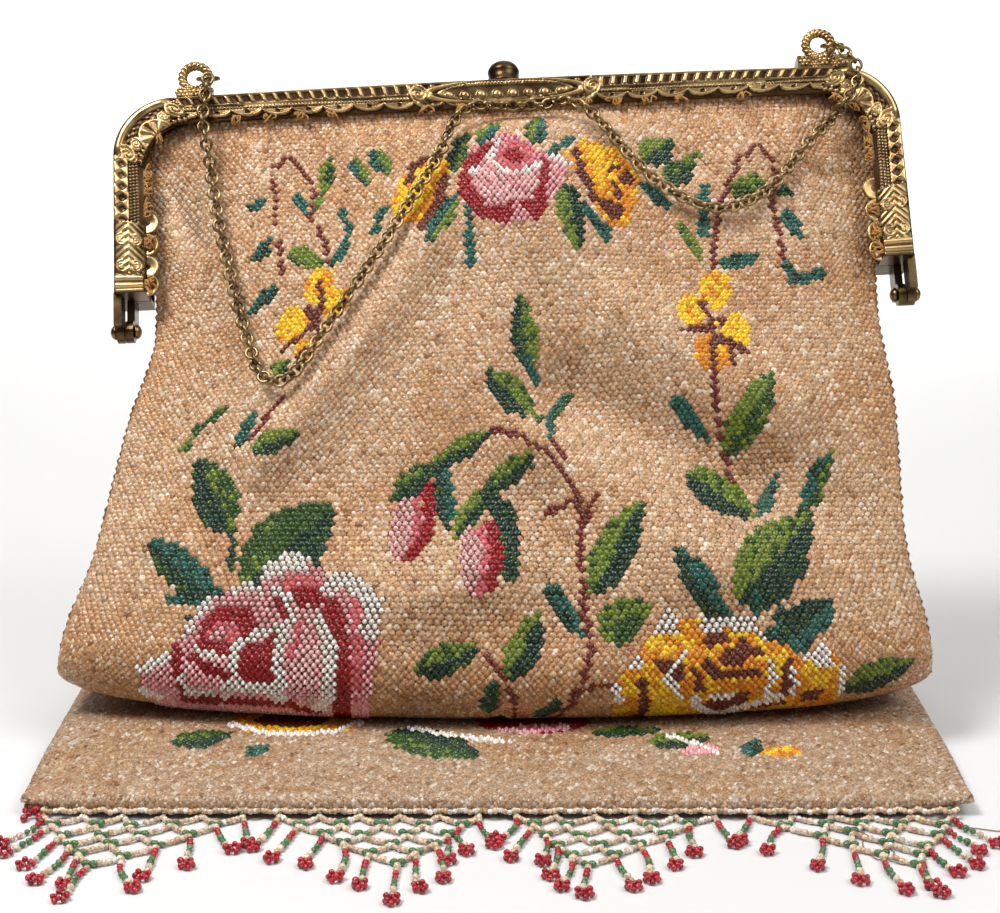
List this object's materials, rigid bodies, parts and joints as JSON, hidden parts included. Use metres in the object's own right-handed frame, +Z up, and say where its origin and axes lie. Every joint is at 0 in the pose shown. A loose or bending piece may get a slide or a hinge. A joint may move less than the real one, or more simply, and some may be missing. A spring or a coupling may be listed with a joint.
{
  "type": "beaded frame bag",
  "caption": "Hollow pouch of knitted glass beads with a floral pattern, in a gilt metal frame with push clasp, chain handle and netted bead fringe.",
  "frame": {"origin": "on the resting surface, under the middle of the part's box", "axes": "+Z up, +X along the bag's width to the viewer's right, +Y from the fringe towards the leaning back"},
  "size_m": [0.2006, 0.1569, 0.1585],
  "materials": {
    "bead_cloth": "satin",
    "bead_net": "gloss",
    "gilt_brass": "satin",
    "chain_brass": "satin"
  },
  "bodies": {
    "bag": {"bag_body": "bead_cloth", "fringe": "bead_net", "chain": "chain_brass", "chain_ring_left": "chain_brass", "chain_ring_right": "chain_brass", "frame_front": "gilt_brass", "frame_back": "gilt_brass", "hinge_rivet_left": "gilt_brass", "hinge_rivet_right": "gilt_brass"},
    "clasp": {"clasp_button": "gilt_brass"}
  },
  "joints": [
    {"name": "clasp_press", "type": "slide", "parent": "bag", "child": "clasp", "axis": [0.0506, -0.4378, -0.8976], "range_m": [0, 0.001], "stiffness_N_per_m": 600}
  ]
}
